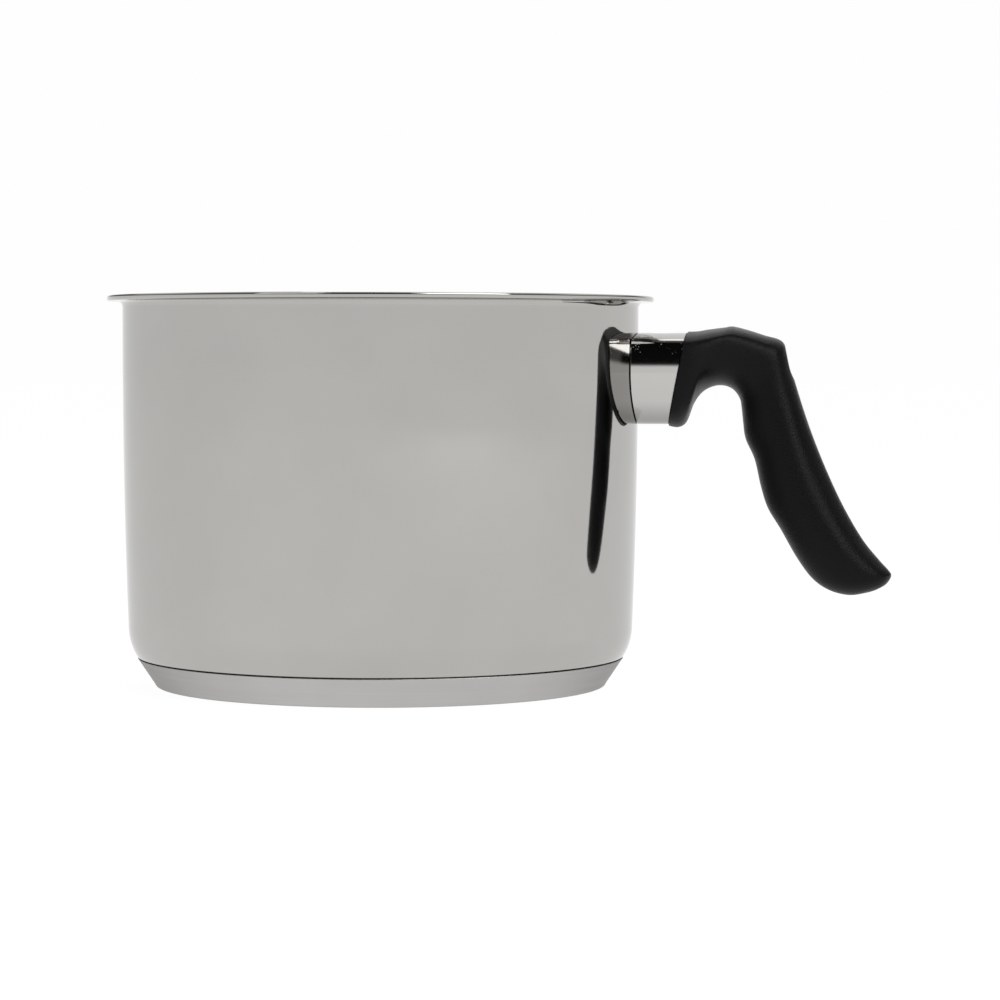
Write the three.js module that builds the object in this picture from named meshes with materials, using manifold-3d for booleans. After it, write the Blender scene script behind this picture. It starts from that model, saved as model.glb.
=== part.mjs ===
// Candle melting pot: a double-walled stainless steel pot with a sandwich base and a hooked black grip.
// Millimetres. Z runs up from the underside of the base, X runs out along the handle and Y across it.
import * as THREE from 'three';
import { mergeVertices } from 'three/addons/utils/BufferGeometryUtils.js';
import Module from 'manifold-3d';

const wasm = await Module();
wasm.setup();

// Fits
const gap = 0.3; // clearance between two pieces that touch on the real pot

// Outer wall, inner bowl and rim
const totalHeight = 120.4;
const bodyRadius = 79.8; // outside of the outer wall, just under the rim
const wallDraw = 1.55; // how far the outer wall draws in from the rim to the bottom bend
const wallDrawPower = 2.5; // most of that draw lies low down
const sheet = 0.7; // steel sheet of the wall and of the bowl
const lipReach = 4.7; // rim edge beyond the outer wall
const lipWidth = 1.2; // the folded-down edge of the bowl's flange
const lipRound = 0.6;
const rimBend = 1.8; // bend between the outer wall and its flange, on the outside
const jacketGap = 7; // water space between wall and bowl
const jacketDepth = 12; // water space under the bowl
const bowlDraw = 0.9; // taper of the bowl from top to bottom
const bowlCorner = 13; // bend between the bowl's wall and its floor
const bowlShoulder = 2.6; // bend between the bowl's wall and its flange

// Sandwich base
const baseThickness = 6; // from the table to the underside of the outer wall's floor
const bendReach = 8.1; // bottom bend of the outer wall, inwards
const bendDrop = 13; // bottom bend of the outer wall, downwards
const floorInset = 8.25; // the outer wall's flat floor ends this far inside the foot of the wall
const seamRise = 3.1; // step in the outer wall where the base cap ends, above its floor
const seamStep = 0.25; // slope of that step
const seamInset = 4.05; // outer wall at the step, inside the foot of the wall
const capSheet = 0.5;
const capFootInset = 9.45; // flat underside of the base cap, inside the foot of the wall
const capFootRound = 1.2;
const capTopInset = 2.9;
const capTopDrop = 0.45; // the cap's top edge lies below the step

// Ferrule: the steel sleeve between the wall and the grip, a half-round trough with a crowned top
const handleDrop = 23; // from the rim down to the ferrule's widest line
const ferruleHalfWidth = 16.2;
const ferruleEdgeHeight = 9.6; // top edge above the widest line
const ferruleCrown = 2.2; // rise of the top between its two edges
const ferruleTaper = 0.6; // the sides curve in by this much up to the top edge
const ferruleEdgeRound = 1;
const ferruleEdgeBlend = 0.3; // the crown starts this share of that rounding above the edge
const ferruleSheet = 1;
const ferruleLength = 12.9; // from the wall to the grip, at the widest line
const collarLean = 0.2; // the grip's face leans out by this much for each millimetre up
const windowRadius = 7; // opening from the ferrule into the water jacket
const windowDrop = 4; // its centre below the widest line
const fillerRadius = 4; // filling hole in the top of the ferrule
const fillerSetback = 5.5; // filling hole's centre from the grip's face, at the widest line

// Grip and its screw
const collarProud = 0.5; // the grip stands out from the ferrule all round
const spigotDepth = 2.7; // the grip's spigot inside the ferrule
const plateThickness = 2;
const bossWall = 1.7;
const bossLength = 5;
const screwRise = 3; // screw axis above the widest line
const screwRadius = 2.5;
const screwTipChamfer = 0.6;
const screwTipInset = 1; // screw tip behind the end of the boss
const headOverhang = 1.9; // screw head beyond its shank
const headHeight = 3;
const driveDepth = 1.8;
const driveWidth = 1.2;
const driveLength = 5.2;
const washerInset = 0.1; // washer inside the edge of the head
const washerThickness = 1.2;
const washerSlit = 0.9;
const recessSeat = 21.5; // head seat beyond the grip's face, at the screw axis
const recessRoom = 0.8; // recess wider than the head

// Grip stations: outer edge x and z, inner edge x and z, half width and squareness of the outer side.
// x is measured from the grip's face at the widest line, z from that line.
const gripStations = [
  [5.5, 12.4, -0.3, -17.1, 16.4, 7],
  [8.5, 12.9, 2.2, -15.4, 15.8, 6.5],
  [11.5, 13.3, 4.4, -9.8, 15.0, 6],
  [13.9, 13.6, 7.5, -5.9, 14.2, 5.5],
  [16.3, 13.9, 11.9, -4.2, 13.4, 5],
  [20.9, 12.8, 15.9, -5.1, 12.2, 4.5],
  [25.9, 11.2, 18.4, -8.1, 11.4, 4],
  [31.1, 9.5, 19.1, -11.8, 10.8, 3.5],
  [33.1, 5.6, 19.5, -15.5, 10.5, 3.1],
  [34.8, -1.2, 20.3, -20.6, 10.4, 2.8],
  [37.9, -11.2, 23.1, -26.9, 10.4, 2.5],
  [41.3, -20.8, 25.0, -35.0, 10.4, 2.3],
  [45.5, -31.0, 27.2, -41.8, 10.4, 2.2],
  [50.5, -41.5, 31.2, -48.4, 10.4, 2.2],
  [56.2, -51.2, 36.2, -57.1, 10.0, 2.2],
  [61.2, -57.4, 40.9, -63.4, 9.0, 2.2],
  [64.3, -60.8, 46.1, -67.0, 7.8, 2.2],
  [65.1, -62.5, 52.1, -68.5, 6.0, 2.2],
  [63.7, -64.9, 57.3, -67.8, 3.6, 2.2],
  [61.5, -66.2, 59.6, -67.1, 1.5, 2.2],
];
const faceSquareness = 7; // squareness of the grip's own face
const gripCrownPower = 1.4; // 2 is an arc and 1 a straight-sided roof
const gripSpringLine = 0.58; // widest line of the grip's section, from its inner edge
const gripSteps = 2; // sections between two stations
const gripSides = 14; // facets on each half of a section

// Round pieces are cut into this many facets
const potFacets = 48;
const smallFacets = 20;
const curveSteps = 12; // cuts along each curve of the ferrule's section

// Places worked out from the sizes above
const flangeUnderside = totalHeight - 2 * sheet - gap;
const bendTop = baseThickness + bendDrop;
const wallFoot = bodyRadius - wallDraw;
const floorRadius = wallFoot - floorInset;
const seamRadius = wallFoot - seamInset;
const seamHeight = baseThickness + seamRise;
const capFootRadius = wallFoot - capFootInset;
const capTopRadius = wallFoot - capTopInset;
const capTopHeight = seamHeight - capTopDrop;
const widestLine = totalHeight - handleDrop;
const collarX = bodyRadius + ferruleLength;
const faceHalfWidth = ferruleHalfWidth + collarProud;
const screwZ = widestLine + screwRise;
const collarAtScrew = collarX + screwRise * collarLean;
const plateOuterX = collarAtScrew - spigotDepth - gap;
const seatX = collarAtScrew + recessSeat;
const headX = seatX + washerThickness + 2 * gap;
const bossEndX = plateOuterX - plateThickness - bossLength;
const bossRadius = screwRadius + gap + bossWall;
const headRadius = screwRadius + headOverhang;
const washerRadius = headRadius - washerInset;
const recessRadius = headRadius + recessRoom;

const polishedSteel = new THREE.MeshStandardMaterial({ color: 0xb9b8b5, roughness: 0.06, metalness: 1 });
const satinSteel = new THREE.MeshStandardMaterial({ color: 0xa5a19c, roughness: 0.35, metalness: 1 });
const aluminium = new THREE.MeshStandardMaterial({ color: 0xc9cbcd, roughness: 0.45, metalness: 1 });
const blackPhenolic = new THREE.MeshStandardMaterial({ color: 0x141416, roughness: 0.5, metalness: 0 });

// A closed geometry as a manifold solid, without the flat triangles that a lathe leaves on its axis.
function solid(geometry) {
  const bare = geometry.clone();
  bare.deleteAttribute('normal');
  bare.deleteAttribute('uv');
  const merged = mergeVertices(bare, 1e-4);
  const index = merged.index.array;
  const triangles = [];
  for (let i = 0; i < index.length; i += 3) {
    const [a, b, c] = index.slice(i, i + 3);
    if (a !== b && b !== c && c !== a) triangles.push(a, b, c);
  }
  const mesh = new wasm.Mesh({
    numProp: 3,
    vertProperties: new Float32Array(merged.attributes.position.array),
    triVerts: new Uint32Array(triangles),
  });
  mesh.merge();
  return new wasm.Manifold(mesh);
}

function pieceOf(name, body, material) {
  const mesh = body.getMesh();
  const geometry = new THREE.BufferGeometry();
  geometry.setAttribute('position', new THREE.BufferAttribute(mesh.vertProperties, 3));
  geometry.setIndex(new THREE.BufferAttribute(mesh.triVerts, 1));
  geometry.computeVertexNormals();
  const piece = new THREE.Mesh(geometry, material);
  piece.name = name;
  return piece;
}

// A profile of [radius, height] pairs turned round the pot's axis.
function turned(profile, facets = potFacets) {
  const points = profile.map(([r, z]) => new THREE.Vector2(r, z));
  return new THREE.LatheGeometry(points, facets).rotateX(Math.PI / 2);
}

// A profile of [radius, x] pairs turned round the screw's axis.
function turnedOnScrew(profile) {
  const points = profile.map(([r, x]) => new THREE.Vector2(r, x));
  return new THREE.LatheGeometry(points, smallFacets).rotateZ(-Math.PI / 2).translate(0, 0, screwZ);
}

// A cylinder along X on the screw's axis.
function rodOnScrew(radius, fromX, toX) {
  return turnedOnScrew([[0, fromX], [radius, fromX], [radius, toX], [0, toX]]);
}

// A shape drawn in Y and Z, extruded along X.
function extrudedAlongX(shape, fromX, toX) {
  const settings = { depth: toX - fromX, bevelEnabled: false, curveSegments: curveSteps };
  const turn = new THREE.Matrix4().makeBasis(
    new THREE.Vector3(0, 1, 0),
    new THREE.Vector3(0, 0, 1),
    new THREE.Vector3(1, 0, 0),
  );
  return new THREE.ExtrudeGeometry(shape, settings).applyMatrix4(turn).translate(fromX, 0, 0);
}

// Points on an ellipse arc, angles in degrees from the outward direction.
function arc(centreR, centreZ, reach, rise, fromDegrees, toDegrees, steps) {
  const points = [];
  for (let i = 0; i <= steps; i += 1) {
    const angle = THREE.MathUtils.degToRad(fromDegrees + ((toDegrees - fromDegrees) * i) / steps);
    points.push([centreR + reach * Math.cos(angle), centreZ + rise * Math.sin(angle)]);
  }
  return points;
}

function wallRadius(z) {
  const drawn = Math.max(0, (flangeUnderside - z) / (flangeUnderside - bendTop));
  return bodyRadius - wallDraw * drawn ** wallDrawPower;
}

// The outer wall's line from the axis to just under the rim, drawn in by an inset.
function wallLine(inset) {
  const step = seamHeight + inset;
  const points = [[0, baseThickness + inset]];
  points.push(...arc(floorRadius, step, seamRadius - floorRadius - inset, step - baseThickness - inset,
    -90, 0, 4));
  const bendCentre = wallFoot - bendReach;
  const firstAngle = -THREE.MathUtils.radToDeg(Math.asin((bendTop - step - seamStep) / (bendDrop - inset)));
  points.push(...arc(bendCentre, bendTop, bendReach - inset, bendDrop - inset, firstAngle, 0, 6));
  const wallSteps = 6;
  for (let i = 1; i < wallSteps; i += 1) {
    const z = bendTop + ((flangeUnderside - bendTop) * i) / wallSteps;
    points.push([wallRadius(z) - inset, z]);
  }
  return points;
}

function outerShell() {
  const flangeEnd = bodyRadius + lipReach - lipWidth - gap;
  const flangeTop = flangeUnderside + sheet;
  const profile = wallLine(0);
  const bendX = bodyRadius + rimBend;
  const bendZ = flangeUnderside - rimBend;
  profile.push(...arc(bendX, bendZ, rimBend, rimBend, 180, 90, 4));
  profile.push([flangeEnd, flangeUnderside]);
  profile.push([flangeEnd, flangeTop]);
  profile.push(...arc(bendX, bendZ, rimBend + sheet, rimBend + sheet, 90, 180, 4));
  profile.push(...wallLine(sheet).reverse());
  const window = new THREE.CylinderGeometry(windowRadius, windowRadius, ferruleLength * 2, smallFacets);
  window.rotateZ(Math.PI / 2).translate(bodyRadius, 0, widestLine - windowDrop);
  return pieceOf('outer_shell', solid(turned(profile)).subtract(solid(window)), polishedSteel);
}

// The bowl's line from the axis up to its shoulder; the inset moves it from the water side to the wax side.
function bowlLine(inset) {
  const topRadius = bodyRadius - sheet - jacketGap - inset;
  const shoulderZ = totalHeight - sheet - bowlShoulder;
  const corner = bowlCorner - inset;
  const floorZ = baseThickness + sheet + jacketDepth + inset;
  const points = [[0, floorZ]];
  points.push(...arc(topRadius - bowlDraw - corner, floorZ + corner, corner, corner, -90, 0, 5));
  const bend = bowlShoulder + inset;
  points.push(...arc(topRadius + bend, shoulderZ, bend, bend, 180, 90, 4));
  return points;
}

function innerBowl() {
  const edge = bodyRadius + lipReach;
  const lipInside = edge - lipWidth;
  const profile = bowlLine(0);
  profile.push([lipInside, totalHeight - sheet]);
  profile.push([lipInside, flangeUnderside]);
  profile.push(...arc(edge - lipRound, flangeUnderside + lipRound, lipRound, lipRound, -90, 0, 3));
  profile.push(...arc(edge - lipRound, totalHeight - lipRound, lipRound, lipRound, 0, 90, 3));
  profile.push(...bowlLine(sheet).reverse());
  return pieceOf('inner_bowl', solid(turned(profile)), polishedSteel);
}

// Radius of the base cap's slanted side, drawn in by an inset.
function capSideRadius(z, inset) {
  const footRadius = capFootRadius + capFootRound;
  const slope = (capTopRadius - footRadius) / (capTopHeight - capFootRound / 2);
  return footRadius + slope * (z - capFootRound / 2) - inset * Math.hypot(1, slope);
}

function baseCap() {
  const footTop = capSheet + capFootRound / 2;
  const profile = [
    [0, 0],
    ...arc(capFootRadius, capFootRound / 2, capFootRound, capFootRound / 2, -90, 0, 2),
    [capTopRadius, capTopHeight],
    [capSideRadius(capTopHeight + capSheet / 2, capSheet / 2), capTopHeight + capSheet / 2],
    [capSideRadius(capTopHeight, capSheet), capTopHeight],
    [capSideRadius(footTop, capSheet), footTop],
    [capFootRadius, capSheet],
    [0, capSheet],
  ];
  return pieceOf('base_cap', solid(turned(profile)), satinSteel);
}

function heatSpreader() {
  const inset = capSheet + gap;
  const bottom = capSheet + gap;
  const top = baseThickness - gap;
  const profile = [
    [0, bottom],
    [capFootRadius - gap, bottom],
    [capSideRadius(bottom + capFootRound / 2, inset), bottom + capFootRound / 2],
    [capSideRadius(top, inset), top],
    [0, top],
  ];
  return pieceOf('heat_spreader', solid(turned(profile)), aluminium);
}

// The ferrule's section in Y and Z, drawn in by an inset.
function ferruleSection(inset) {
  const side = ferruleHalfWidth - inset;
  const edge = side - ferruleTaper;
  const edgeZ = widestLine + ferruleEdgeHeight - inset;
  const round = ferruleEdgeRound;
  const crownFoot = edgeZ + round * ferruleEdgeBlend;
  const middleZ = (widestLine + edgeZ - round) / 2;
  const shape = new THREE.Shape();
  shape.absarc(0, widestLine, side, Math.PI, 2 * Math.PI, false);
  shape.quadraticCurveTo(side, middleZ, edge, edgeZ - round);
  shape.quadraticCurveTo(edge, edgeZ, edge - round, crownFoot);
  shape.quadraticCurveTo(0, edgeZ + 2 * ferruleCrown, round - edge, crownFoot);
  shape.quadraticCurveTo(-edge, edgeZ, -edge, edgeZ - round);
  shape.quadraticCurveTo(-side, middleZ, -side, widestLine);
  return shape;
}

// Everything outside the pot's wall and inside the plane that lies behind the grip's face by a setback.
function betweenWallAndGrip(nearSetback, farSetback) {
  const reach = 2 * ferruleHalfWidth;
  const near = nearSetback === null ? bodyRadius / 2 : null;
  const xAt = (z, setback) => collarX - setback + (z - widestLine) * collarLean;
  const low = widestLine - reach;
  const high = widestLine + reach;
  const shape = new THREE.Shape();
  shape.moveTo(near ?? xAt(low, nearSetback), low);
  shape.lineTo(xAt(low, farSetback), low);
  shape.lineTo(xAt(high, farSetback), high);
  shape.lineTo(near ?? xAt(high, nearSetback), high);
  const prism = new THREE.ExtrudeGeometry(shape, { depth: 2 * reach, bevelEnabled: false });
  return solid(prism.rotateX(Math.PI / 2).translate(0, reach, 0));
}

// The pot's wall as a plain turned body, grown by a clearance.
function wallBody(grow) {
  const low = widestLine - 2 * ferruleHalfWidth;
  const profile = [[0, low]];
  const steps = 8;
  for (let i = 0; i <= steps; i += 1) {
    const z = low + ((totalHeight - low) * i) / steps;
    profile.push([wallRadius(z) + grow, z]);
  }
  profile.push([0, totalHeight]);
  return solid(turned(profile, 2 * potFacets));
}

function ferrule() {
  const tube = ferruleSection(0);
  tube.holes.push(ferruleSection(ferruleSheet));
  const length = solid(extrudedAlongX(tube, bodyRadius / 2, collarX + ferruleHalfWidth));
  const filler = new THREE.CylinderGeometry(fillerRadius, fillerRadius, ferruleHalfWidth, smallFacets);
  filler.rotateX(Math.PI / 2).translate(collarX - fillerSetback, 0, widestLine + ferruleHalfWidth);
  const body = length
    .intersect(betweenWallAndGrip(null, gap))
    .subtract(wallBody(gap))
    .subtract(solid(filler));
  return pieceOf('handle_ferrule', body, polishedSteel);
}

function endPlate() {
  const inside = ferruleSection(ferruleSheet + gap);
  const section = solid(extrudedAlongX(inside, bodyRadius, collarX + ferruleHalfWidth));
  const setback = spigotDepth + gap;
  const plate = section.intersect(betweenWallAndGrip(setback + plateThickness, setback));
  const boss = solid(rodOnScrew(bossRadius, bossEndX, plateOuterX - plateThickness / 2));
  const thread = solid(rodOnScrew(screwRadius + gap, bossEndX - gap, plateOuterX + plateThickness));
  return pieceOf('ferrule_end_plate', plate.add(boss).subtract(thread), satinSteel);
}

// One closed section of the grip, round on its inner side, squarer and crowned on its outer side. The crown
// falls with the width, as an arc's does, from the ferrule's own crown at the grip's face.
function gripSection([outerX, outerZ, innerX, innerZ, halfWidth, squareness]) {
  const crown = ferruleCrown * (halfWidth / faceHalfWidth) ** 2;
  const crownShare = crown / Math.hypot(outerX - innerX, outerZ - innerZ);
  const points = [];
  for (let i = 0; i < 2 * gripSides; i += 1) {
    const angle = (Math.PI * i) / gripSides;
    const power = Math.sin(angle) > 0 ? 2 / squareness : 1;
    const across = halfWidth * Math.sign(Math.cos(angle)) * Math.abs(Math.cos(angle)) ** power;
    const part = Math.sign(Math.sin(angle)) * Math.abs(Math.sin(angle)) ** power;
    const fall = crownShare * Math.abs(across / halfWidth) ** gripCrownPower;
    const along = gripSpringLine + part * (part > 0 ? 1 - gripSpringLine - fall : gripSpringLine);
    points.push([innerX + (outerX - innerX) * along, across, innerZ + (outerZ - innerZ) * along]);
  }
  return points;
}

// The station values, smoothed through every station by a Catmull-Rom curve.
function smoothStations(stations) {
  const rows = [];
  for (let i = 0; i < stations.length - 1; i += 1) {
    const from = stations[Math.max(i - 1, 0)];
    const to = stations[Math.min(i + 2, stations.length - 1)];
    for (let step = 0; step < gripSteps; step += 1) {
      const t = step / gripSteps;
      rows.push(stations[i].map((a, k) => {
        const b = stations[i + 1][k];
        const bend = (b - from[k]) * t + (2 * from[k] - 5 * a + 4 * b - to[k]) * t ** 2
          + (3 * a - from[k] - 3 * b + to[k]) * t ** 3;
        return a + bend / 2;
      }));
    }
  }
  rows.push(stations[stations.length - 1]);
  return rows;
}

// A closed skin over a row of sections that all have the same number of points.
function lofted(sections) {
  const sides = sections[0].length;
  const positions = sections.flat();
  const index = [];
  for (let s = 0; s < sections.length - 1; s += 1) {
    for (let i = 0; i < sides; i += 1) {
      const a = s * sides + i;
      const b = s * sides + ((i + 1) % sides);
      index.push(a, b, a + sides, b, b + sides, a + sides);
    }
  }
  for (const [s, turn] of [[0, -1], [sections.length - 1, 1]]) {
    const middle = new THREE.Vector3();
    sections[s].forEach((point) => middle.add(new THREE.Vector3(...point)));
    positions.push(middle.divideScalar(sides).toArray());
    for (let i = 0; i < sides; i += 1) {
      const pair = [s * sides + i, s * sides + ((i + 1) % sides)];
      index.push(positions.length - 1, ...(turn > 0 ? pair : pair.reverse()));
    }
  }
  const geometry = new THREE.BufferGeometry();
  geometry.setAttribute('position', new THREE.Float32BufferAttribute(positions.flat(), 3));
  geometry.setIndex(index);
  return geometry;
}

function grip() {
  const top = ferruleEdgeHeight + ferruleCrown + collarProud;
  const bottom = -ferruleHalfWidth - collarProud;
  const face = [top * collarLean, top, bottom * collarLean, bottom, faceHalfWidth, faceSquareness];
  const sections = smoothStations([face, ...gripStations]).map(gripSection);
  const skin = solid(lofted(sections).translate(collarX, 0, widestLine));
  const spigotShape = ferruleSection(ferruleSheet + gap);
  const spigot = solid(extrudedAlongX(spigotShape, bodyRadius, collarX + ferruleHalfWidth))
    .intersect(betweenWallAndGrip(spigotDepth, -2 * collarProud));
  const bore = solid(rodOnScrew(screwRadius + gap, bossEndX, headX));
  const recess = solid(rodOnScrew(recessRadius, seatX, seatX + recessSeat));
  return pieceOf('handle_grip', skin.add(spigot).subtract(bore).subtract(recess), blackPhenolic);
}

function gripScrew() {
  const tip = bossEndX + screwTipInset;
  const crown = headX + headHeight;
  const profile = [
    [0, tip],
    [screwRadius - screwTipChamfer, tip],
    [screwRadius, tip + screwTipChamfer],
    [screwRadius, headX],
    [headRadius, headX],
    ...arc(0, headX + headHeight / 2, headRadius, headHeight / 2, 0, 90, 4),
  ];
  let body = solid(turnedOnScrew(profile));
  for (const [y, z] of [[driveWidth, driveLength], [driveLength, driveWidth]]) {
    const slot = new THREE.BoxGeometry(2 * driveDepth, y, z).translate(crown, 0, screwZ);
    body = body.subtract(solid(slot));
  }
  return pieceOf('handle_screw', body, satinSteel);
}

function lockWasher() {
  const near = seatX + gap;
  const far = near + washerThickness;
  const inside = screwRadius + gap;
  const ring = [[inside, near], [washerRadius, near], [washerRadius, far], [inside, far], [inside, near]];
  const slit = new THREE.BoxGeometry(4 * washerThickness, washerSlit, washerRadius);
  slit.translate(near, 0, screwZ + inside + washerRadius / 2 - gap);
  return pieceOf('lock_washer', solid(turnedOnScrew(ring)).subtract(solid(slit)), satinSteel);
}

const pot = new THREE.Group();
pot.add(innerBowl());
pot.add(outerShell());
pot.add(heatSpreader());
pot.add(baseCap());
pot.add(ferrule());
pot.add(endPlate());
pot.add(grip());
pot.add(gripScrew());
pot.add(lockWasher());

export default pot;
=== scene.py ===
"""Looks for the candle melting pot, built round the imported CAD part, in the part's own frame.

The pieces' sizes are named in millimetres and turned into metres when a mesh is made. Distances inside
materials, of the lights and of the camera are in metres.
"""
import math

import bmesh
import bpy
import numpy as np
from mathutils import Matrix, Vector


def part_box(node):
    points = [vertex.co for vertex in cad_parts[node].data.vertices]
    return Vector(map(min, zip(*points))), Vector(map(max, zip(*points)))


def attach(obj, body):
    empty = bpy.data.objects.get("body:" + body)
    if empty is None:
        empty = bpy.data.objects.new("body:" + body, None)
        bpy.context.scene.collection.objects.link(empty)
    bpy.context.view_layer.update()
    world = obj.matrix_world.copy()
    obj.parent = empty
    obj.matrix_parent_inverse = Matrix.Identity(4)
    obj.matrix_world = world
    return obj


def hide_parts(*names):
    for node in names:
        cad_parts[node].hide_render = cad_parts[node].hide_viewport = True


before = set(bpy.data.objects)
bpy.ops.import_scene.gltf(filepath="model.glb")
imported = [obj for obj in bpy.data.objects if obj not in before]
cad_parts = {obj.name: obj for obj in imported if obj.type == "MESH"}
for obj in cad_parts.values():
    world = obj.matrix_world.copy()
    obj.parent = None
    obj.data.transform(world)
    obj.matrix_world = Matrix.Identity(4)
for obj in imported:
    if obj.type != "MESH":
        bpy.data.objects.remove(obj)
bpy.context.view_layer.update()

# ---------------------------------------------------------------- sizes, in millimetres
MM = 0.001
GAP = 0.3
TOTAL_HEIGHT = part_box("inner_bowl")[1].z / MM
RIM_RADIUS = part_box("inner_bowl")[1].x / MM
LIP_REACH = 4.7
BODY_RADIUS = RIM_RADIUS - LIP_REACH
WALL_DRAW = 1.55
WALL_DRAW_POWER = 2.5
SHEET = 0.7
LIP_WIDTH = 1.2
LIP_ROUND = 0.6
FOLD_CLOSED = 0.9  # share of the gap between fold and flange that is pressed shut
RIM_BEND = 1.8
JACKET_GAP = 7
JACKET_DEPTH = 12
BOWL_DRAW = 0.9
BOWL_CORNER = 13
BOWL_SHOULDER = 2.6

BASE_THICKNESS = 6
BEND_REACH = 8.1
BEND_DROP = 13
WALL_FOOT = BODY_RADIUS - WALL_DRAW
FLOOR_RADIUS = WALL_FOOT - 8.25
SEAM_HEIGHT = BASE_THICKNESS + 3.1
SEAM_STEP = 0.25
SEAM_RADIUS = WALL_FOOT - 4.05
CAP_SHEET = 0.5
CAP_FOOT_RADIUS = WALL_FOOT - 9.45
CAP_FOOT_ROUND = 1.2
CAP_TOP_RADIUS = WALL_FOOT - 2.9
CAP_TOP_HEIGHT = SEAM_HEIGHT - 0.45

WIDEST_LINE = TOTAL_HEIGHT - 23
FERRULE_HALF_WIDTH = 16.2
FERRULE_EDGE_HEIGHT = 9.6
FERRULE_CROWN = 2.2
FERRULE_TAPER = 0.6
FERRULE_EDGE_ROUND = 1
FERRULE_EDGE_BLEND = 0.3
FERRULE_SHEET = 1
FERRULE_LENGTH = 12.9
COLLAR_X = BODY_RADIUS + FERRULE_LENGTH
COLLAR_LEAN = 0.2
COLLAR_PROUD = 0.5
LOW_ARC_STEPS = 120
FACE_HALF_WIDTH = FERRULE_HALF_WIDTH + COLLAR_PROUD
WINDOW_RADIUS = 7
WINDOW_DROP = 4
FILLER_RADIUS = 4
FILLER_X = COLLAR_X - 5.5
FILLER_FLARE = 0.7
WELD_HEIGHT = 0.42
WELD_WIDTH = 0.75
WELD_REACH = 7.2

SPIGOT_DEPTH = 2.7
SCREW_RISE = 3
SCREW_Z = WIDEST_LINE + SCREW_RISE
COLLAR_AT_SCREW = COLLAR_X + SCREW_RISE * COLLAR_LEAN
SCREW_RADIUS = 2.5
HEAD_RADIUS = 4.4
HEAD_HEIGHT = 3
RECESS_RADIUS = 5.2
SEAT_X = COLLAR_AT_SCREW + 21.5
WASHER_THICKNESS = 1.2
HEAD_X = SEAT_X + WASHER_THICKNESS + 2 * GAP
RECESS_MOUTH_X = COLLAR_X + 33.8
RECESS_FLARE = 0.3
PLATE_THICKNESS = 2
BOSS_LENGTH = 5
BOSS_END_X = COLLAR_AT_SCREW - SPIGOT_DEPTH - GAP - PLATE_THICKNESS - BOSS_LENGTH
SCREW_TIP_INSET = 1
SCREW_TIP_CHAMFER = 0.6
SLOT_HALF_WIDTH = 0.6
SLOT_REACH = 2.6
SLOT_DEPTH = 1.8
SLOT_FLOOR_SHARE = 0.62
SLOT_TOP_SHARE = 1.06
HEAD_EDGE = 0.15

FLANGE_UNDERSIDE = TOTAL_HEIGHT - 2 * SHEET - GAP
BEND_TOP = BASE_THICKNESS + BEND_DROP

# Grip stations: outer edge x and z, inner edge x and z, half width, squareness of the outer side.
GRIP_STATIONS = [
    (5.5, 12.4, -0.3, -17.1, 16.4, 7),
    (8.5, 12.9, 2.2, -15.4, 15.8, 6.5),
    (11.5, 13.3, 4.4, -9.8, 15.0, 6),
    (13.9, 13.6, 7.5, -5.9, 14.2, 5.5),
    (16.3, 13.9, 11.9, -4.2, 13.4, 5),
    (20.9, 12.8, 15.9, -5.1, 12.2, 4.5),
    (25.9, 11.2, 18.4, -8.1, 11.4, 4),
    (31.1, 9.5, 19.1, -11.8, 10.8, 3.5),
    (33.1, 5.6, 19.5, -15.5, 10.5, 3.1),
    (34.8, -1.2, 20.3, -20.6, 10.4, 2.8),
    (37.9, -11.2, 23.1, -26.9, 10.4, 2.5),
    (41.3, -20.8, 25.0, -35.0, 10.4, 2.3),
    (45.5, -31.0, 27.2, -41.8, 10.4, 2.2),
    (50.5, -41.5, 31.2, -48.4, 10.4, 2.2),
    (56.2, -51.2, 36.2, -57.1, 10.0, 2.2),
    (61.2, -57.4, 40.9, -63.4, 9.0, 2.2),
    (64.3, -60.8, 46.1, -67.0, 7.8, 2.2),
    (65.1, -62.5, 52.1, -68.5, 6.0, 2.2),
    (63.7, -64.9, 57.3, -67.8, 3.6, 2.2),
    (61.5, -66.2, 59.6, -67.1, 1.5, 2.2),
]
FACE_SQUARENESS = 7
GRIP_CROWN_POWER = 1.4
GRIP_SPRING_LINE = 0.58
GRIP_FACE_EDGE = 0.4
GRIP_TIP_DOME = 0.3


# ---------------------------------------------------------------- mesh helpers
def add_object(name, verts, faces, sharp=32):
    """A smooth-shaded object from points in millimetres, with edges above the sharp angle kept crisp."""
    mesh = bpy.data.meshes.new(name)
    mesh.from_pydata((np.asarray(verts, float) * MM).tolist(), [], faces)
    mesh.update()
    obj = bpy.data.objects.new(name, mesh)
    bpy.context.scene.collection.objects.link(obj)
    shade(obj, sharp)
    return obj


def shade(obj, sharp=32):
    """Smooth shading, with edges above the sharp angle kept crisp."""
    obj.data.shade_smooth()
    obj.data.set_sharp_from_angle(angle=math.radians(sharp))


def face_outwards(obj):
    """Makes every face of a closed mesh point out of it."""
    bm = bmesh.new()
    bm.from_mesh(obj.data)
    bmesh.ops.recalc_face_normals(bm, faces=bm.faces)
    bm.to_mesh(obj.data)
    bm.free()
    obj.data.update()


def cut(obj, *cutters, sharp=32):
    """Takes the cutters out of the object and removes them."""
    for cutter in cutters:
        modifier = obj.modifiers.new("cut", "BOOLEAN")
        modifier.operation = "DIFFERENCE"
        modifier.solver = "EXACT"
        modifier.object = cutter
    graph = bpy.context.evaluated_depsgraph_get()
    mesh = bpy.data.meshes.new_from_object(obj.evaluated_get(graph))
    obj.modifiers.clear()
    obj.data = mesh
    for cutter in cutters:
        bpy.data.objects.remove(cutter)
    shade(obj, sharp)
    return obj


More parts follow.
